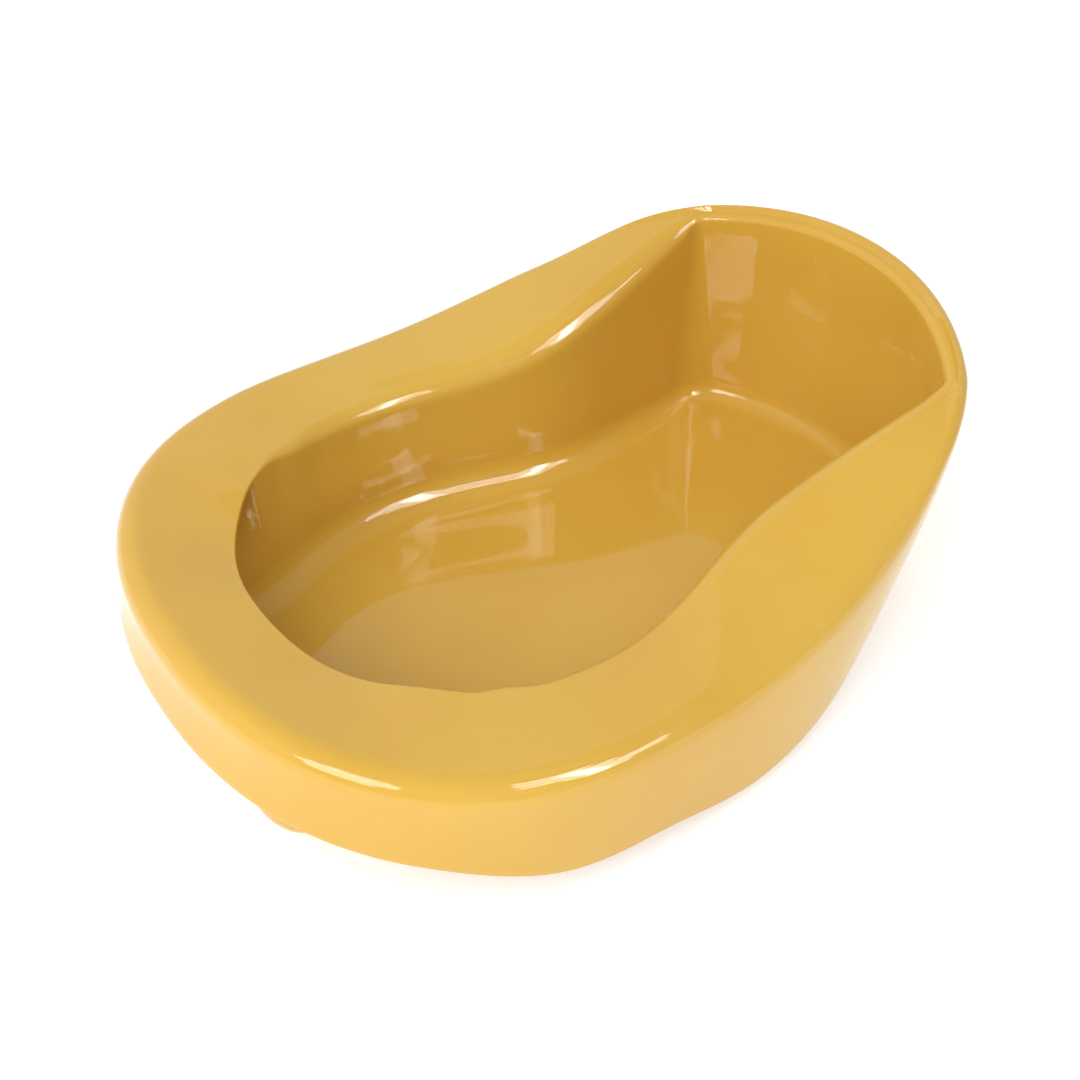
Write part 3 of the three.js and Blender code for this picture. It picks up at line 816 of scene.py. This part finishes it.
def core_witness(g, x, y, z):
    """The hairline that the pocket's mould core leaves on the floor: a rectangle with round corners; the
    material paints it paler, as a painted highlight.
    """
    bow = g.math("MULTIPLY", g.math("MULTIPLY", y, y), CORE_BOW)
    ahead = g.math("ADD", g.math("SUBTRACT", x, CORE_FRONT_X), g.math("ADD", bow, CORE_CORNER))
    aside = g.math("ADD", g.math("SUBTRACT", g.math("ABSOLUTE", y), CORE_HALF_WIDTH), CORE_CORNER)
    past = [g.math("MAXIMUM", reach, 0.0) for reach in (ahead, aside)]
    outside = g.math("SQRT", g.math("ADD", *(g.math("MULTIPLY", reach, reach) for reach in past)))
    inside = g.math("MINIMUM", g.math("MAXIMUM", ahead, aside), 0.0)
    away = g.math("ABSOLUTE", g.math("SUBTRACT", g.math("ADD", outside, inside), CORE_CORNER))
    line = g.band(away, 0.0, CORE_LINE, 1.0, 0.0)
    on_floor = g.band(z, *CORE_TOP, 1.0, 0.0)
    return g.math("MULTIPLY", line, on_floor)


def ejector_marks(g, place):
    """Shallow rings on the front corners of the rim; the material paints them paler, as a painted highlight.
    """
    rings = []
    for side in (1, -1):
        values = {0: place, 1: (EJECTOR_PLACE[0], side * EJECTOR_PLACE[1], EJECTOR_PLACE[2])}
        away = g.node("ShaderNodeVectorMath", values, operation="DISTANCE").outputs["Value"]
        off_ring = g.math("ABSOLUTE", g.math("SUBTRACT", away, EJECTOR_RADIUS))
        rings.append(g.band(off_ring, 0.0, EJECTOR_LINE, 1.0, 0.0))
    return g.math("MAXIMUM", *rings)


def gold_plastic():
    """Gloss moulded plastic: a slight mottle, a skin that isn't quite flat, hairlines and rubbed patches, and
    mould marks painted paler as a painted highlight.
    """
    material = bpy.data.materials.new("gold_plastic_gloss")
    material.use_nodes = True
    g = Graph(material.node_tree)
    shader = g.nodes["Principled BSDF"]
    place = g.node("ShaderNodeTexCoord").outputs["Object"]
    x, y, z = g.node("ShaderNodeSeparateXYZ", {"Vector": place}).outputs

    scratches = g.highest([hairlines(g, place, *values) for values in HAIRLINES])
    marks = g.highest([core_witness(g, x, y, z), ejector_marks(g, place)])

    cloud = g.noise(place, MOTTLE_SCALE, 3.0)
    speck = g.noise(place, SPECK_SCALE, 2.0)
    colour = g.blend(g.band(cloud, 0.35, 0.65), GOLD_DEEP, GOLD_LIGHT)
    colour = g.blend(g.band(speck, 0.62, 0.75, 0.0, SPECK_SHARE), colour, GOLD_DARK)
    # Paler along the hairlines as wear, and along the mould marks as a painted highlight
    pale = g.highest([g.math("MULTIPLY", scratches, SCRATCH_PALE), g.math("MULTIPLY", marks, MARK_PAINTED_HIGHLIGHT)])
    g.feed(shader.inputs["Base Color"], g.blend(pale, colour, GOLD_WEAR_AND_HIGHLIGHT))

    rubbed = g.band(g.noise(place, RUBBED_SCALE, 4.0, 0.65), 0.5, 0.72, 0.0, RUBBED_ROUGHNESS)
    roughness = g.math("ADD", g.band(g.noise(place, GLOSS_SCALE, 3.0), 0.3, 0.7, *GLOSS), rubbed)
    roughness = g.math("ADD", roughness, g.math("MULTIPLY", scratches, SCRATCH_ROUGHNESS))
    g.feed(shader.inputs["Roughness"], roughness)
    shader.inputs["IOR"].default_value = PLASTIC_IOR

    skin = [(g.noise(place, scale, detail), metres) for scale, detail, metres in WAVES]
    skin += [(scratches, -SCRATCH_DEPTH), (marks, MARK_HEIGHT)]
    height = 0.0
    for shape, metres in skin:
        height = g.math("MULTIPLY_ADD", shape, metres, height)
    g.feed(shader.inputs["Normal"], g.bump(height))
    return material


# ---- Studio and camera ----


def direction(azimuth, elevation):
    """The unit vector towards a direction in radians, where azimuth 0 is towards -Y."""
    level = math.cos(elevation)
    return Vector((math.sin(azimuth) * level, -math.cos(azimuth) * level, math.sin(elevation)))


def area_light(name, azimuth, elevation, width, height, brightness, glint=True):
    """A soft box facing the object. A glint only shows in reflections; any other box only lights."""
    light = bpy.data.lights.new(name, "AREA")
    light.shape = "RECTANGLE"
    light.size, light.size_y = width, height
    light.energy = brightness * math.pi * width * height
    lamp = bpy.data.objects.new(name, light)
    towards = direction(math.radians(azimuth), math.radians(elevation))
    lamp.location = towards * LIGHT_DISTANCE
    lamp.rotation_mode = "QUATERNION"
    lamp.rotation_quaternion = towards.to_track_quat("Z", "Y")
    lamp.visible_diffuse = not glint
    lamp.visible_glossy = glint
    bpy.context.scene.collection.objects.link(lamp)


def make_camera():
    azimuth, elevation, roll = (math.radians(a) for a in (CAMERA_AZIMUTH, CAMERA_ELEVATION, CAMERA_ROLL))
    back = direction(azimuth, elevation)
    right = (-back).cross(Vector((0, 0, 1))).normalized()
    up = right.cross(-back).normalized()
    across = right * math.cos(roll) + up * math.sin(roll)
    upward = up * math.cos(roll) - right * math.sin(roll)
    data = bpy.data.cameras.new("camera")
    data.sensor_width = SENSOR_WIDTH
    data.lens = CAMERA_LENS
    data.clip_start = NEAREST
    camera = bpy.data.objects.new("camera", data)
    aim = Vector((SHIFT_X * MM, 0, 0)) + right * CAMERA_SLIDE[0] + up * CAMERA_SLIDE[1]
    turn = Matrix((across, upward, back)).transposed().to_4x4()
    camera.matrix_world = Matrix.Translation(back * CAMERA_DISTANCE + aim) @ turn
    bpy.context.scene.collection.objects.link(camera)
    bpy.context.scene.camera = camera


def pale_floor():
    mesh = bpy.data.meshes.new("floor")
    corners = [(x * FLOOR_HALF, y * FLOOR_HALF, 0) for x, y in ((-1, -1), (1, -1), (1, 1), (-1, 1))]
    mesh.from_pydata(corners, [], [(0, 1, 2, 3)])
    material = bpy.data.materials.new("pale_floor")
    material.use_nodes = True
    shader = material.node_tree.nodes["Principled BSDF"]
    shader.inputs["Base Color"].default_value = (FLOOR_GREY, FLOOR_GREY, FLOOR_GREY, 1)
    shader.inputs["Roughness"].default_value = FLOOR_ROUGHNESS
    shader.inputs["Emission Color"].default_value = WHITE
    shader.inputs["Emission Strength"].default_value = FLOOR_GLOW
    mesh.materials.append(material)
    floor = bpy.data.objects.new("floor", mesh)
    bpy.context.scene.collection.objects.link(floor)
    return floor


def studio_world():
    """A pale backdrop behind the object, and a dimmer room on the -Y side and overhead."""
    world = bpy.data.worlds.new("studio")
    bpy.context.scene.world = world
    world.use_nodes = True
    g = Graph(world.node_tree)
    towards = g.node("ShaderNodeTexCoord").outputs["Generated"]
    _, behind, height = g.node("ShaderNodeSeparateXYZ", {"Vector": towards}).outputs
    low, high = (math.sin(math.radians(BACKDROP_TOP + side)) for side in (-BACKDROP_BLUR, BACKDROP_BLUR))
    around = g.band(behind, *ROOM_EDGE, ROOM_LIGHT, BACKDROP_LIGHT)
    g.feed(g.nodes["Background"].inputs["Strength"], g.band(height, low, high, around, CEILING_LIGHT))
    g.nodes["Background"].inputs["Color"].default_value = WHITE


def studio_lights():
    area_light("top_fill", *TOP_FILL_BOX, TOP_FILL, glint=False)
    area_light("left_fill", *LEFT_FILL_BOX, LEFT_FILL, glint=False)
    area_light("right_core", *RIGHT_UPRIGHT, WINDOW_LIGHT)
    for side, strips in (("left", LEFT_STRIPS), ("right", RIGHT_STRIPS)):
        for azimuth, elevation, width in strips:
            area_light(f"{side}_strip_{elevation}", azimuth, elevation, width, STRIP_HEIGHT, WINDOW_LIGHT)


# ---- The scene ----

make_camera()
plastic = gold_plastic()
oriented = {name: outward_faces(faces) for name, faces in REGIONS.items()}
skin_normals = point_normals(oriented)
for name, (shown, hidden) in oriented.items():
    build_piece(name, shown, hidden, skin_normals, plastic)

floor = pale_floor()
studio_world()
studio_lights()
bpy.context.scene.view_settings.view_transform = "Standard"
